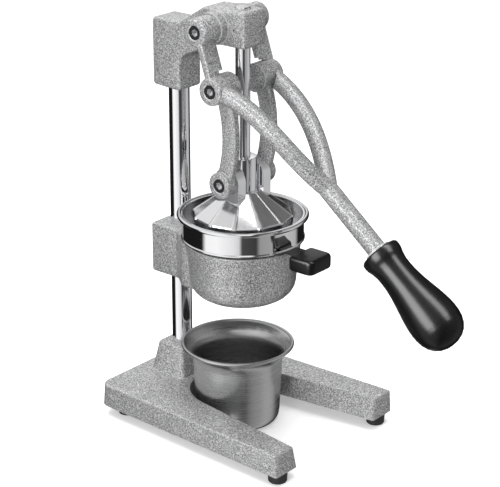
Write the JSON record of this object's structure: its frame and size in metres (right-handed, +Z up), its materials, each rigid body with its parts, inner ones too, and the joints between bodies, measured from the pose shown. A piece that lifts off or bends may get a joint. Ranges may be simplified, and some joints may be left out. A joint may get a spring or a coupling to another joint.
{
  "type": "citrus press juicer",
  "caption": "Hand-lever citrus press on a forked cast base, with a column, a link-driven ram and cone over a strainer pan and bowl, and a metal juice cup.",
  "frame": {"origin": "middle of the machine's footprint, on the table", "axes": "+X to the right across the machine, -Y towards the side the lever points to, +Z up"},
  "size_m": [0.18, 0.3624, 0.4142],
  "materials": {
    "hammer_enamel": "silver-grey hammered enamel on castings",
    "polished_steel": "mirror-polished stainless sheet",
    "chrome_bar": "ground and chromed bar",
    "brushed_steel": "satin stainless sheet, turned finish",
    "black_plastic": "gloss black moulding",
    "foot_rubber": "matt black rubber",
    "black_steel": "black-oxide socket screws",
    "zinc_steel": "bright zinc-plated fasteners",
    "bush_brass": "turned bronze bush"
  },
  "bodies": {
    "frame": {"base_casting": "hammer_enamel", "rubber_feet": "foot_rubber", "foot_screws": "zinc_steel", "column": "chrome_bar", "column_washer": "zinc_steel", "column_nut": "zinc_steel", "head_casting": "hammer_enamel", "head_grub_screws": "black_steel", "guide_bush": "bush_brass", "crank_pivot_screws": "black_steel", "bowl_casting": "hammer_enamel", "bowl_grub_screws": "black_steel", "strainer_pan": "polished_steel", "pan_tongue": "polished_steel", "pan_handle": "black_plastic", "pan_handle_rivets": "zinc_steel", "reamer_cone": "polished_steel"},
    "lever": {"lever_casting": "hammer_enamel", "lever_ferrule": "chrome_bar", "lever_grip": "black_plastic"},
    "link_l": {"left_link": "hammer_enamel", "left_link_screws": "black_steel"},
    "link_r": {"right_link": "hammer_enamel", "right_link_screws": "black_steel"},
    "ram": {"ram_rod": "chrome_bar", "ram_yoke": "chrome_bar", "ram_cross_pin": "zinc_steel", "press_cone": "polished_steel", "press_cone_screw": "zinc_steel"},
    "cup": {"juice_cup": "brushed_steel"}
  },
  "joints": [
    {"name": "lever_hinge", "type": "hinge", "parent": "frame", "child": "lever", "pos_m": [0, 0.0828, 0.395], "axis": [-1, 0, 0], "range_deg": [0, 128]},
    {"name": "left_link_hinge", "type": "hinge", "parent": "lever", "child": "link_l", "pos_m": [-0.03, 0.0652, 0.34331], "axis": [-1, 0, 0], "range_deg": [-135.9, 0]},
    {"name": "right_link_hinge", "type": "hinge", "parent": "lever", "child": "link_r", "pos_m": [0.03, 0.0652, 0.34331], "axis": [-1, 0, 0], "range_deg": [-135.9, 0]},
    {"name": "ram_slide", "type": "slide", "parent": "frame", "child": "ram", "axis": [0, 0, 1], "range_m": [0, 0.0981]},
    {"name": "cup_slide", "type": "slide", "parent": "frame", "child": "cup", "axis": [0, -1, 0], "range_m": [0, 0.15]}
  ],
  "couplings": [
    {"joint": "left_link_hinge", "follows": "lever_hinge", "ratio": -1.0602},
    {"joint": "right_link_hinge", "follows": "lever_hinge", "ratio": -1.0602},
    {"joint": "ram_slide", "follows": "lever_hinge", "m_per_rad": 0.043897}
  ]
}
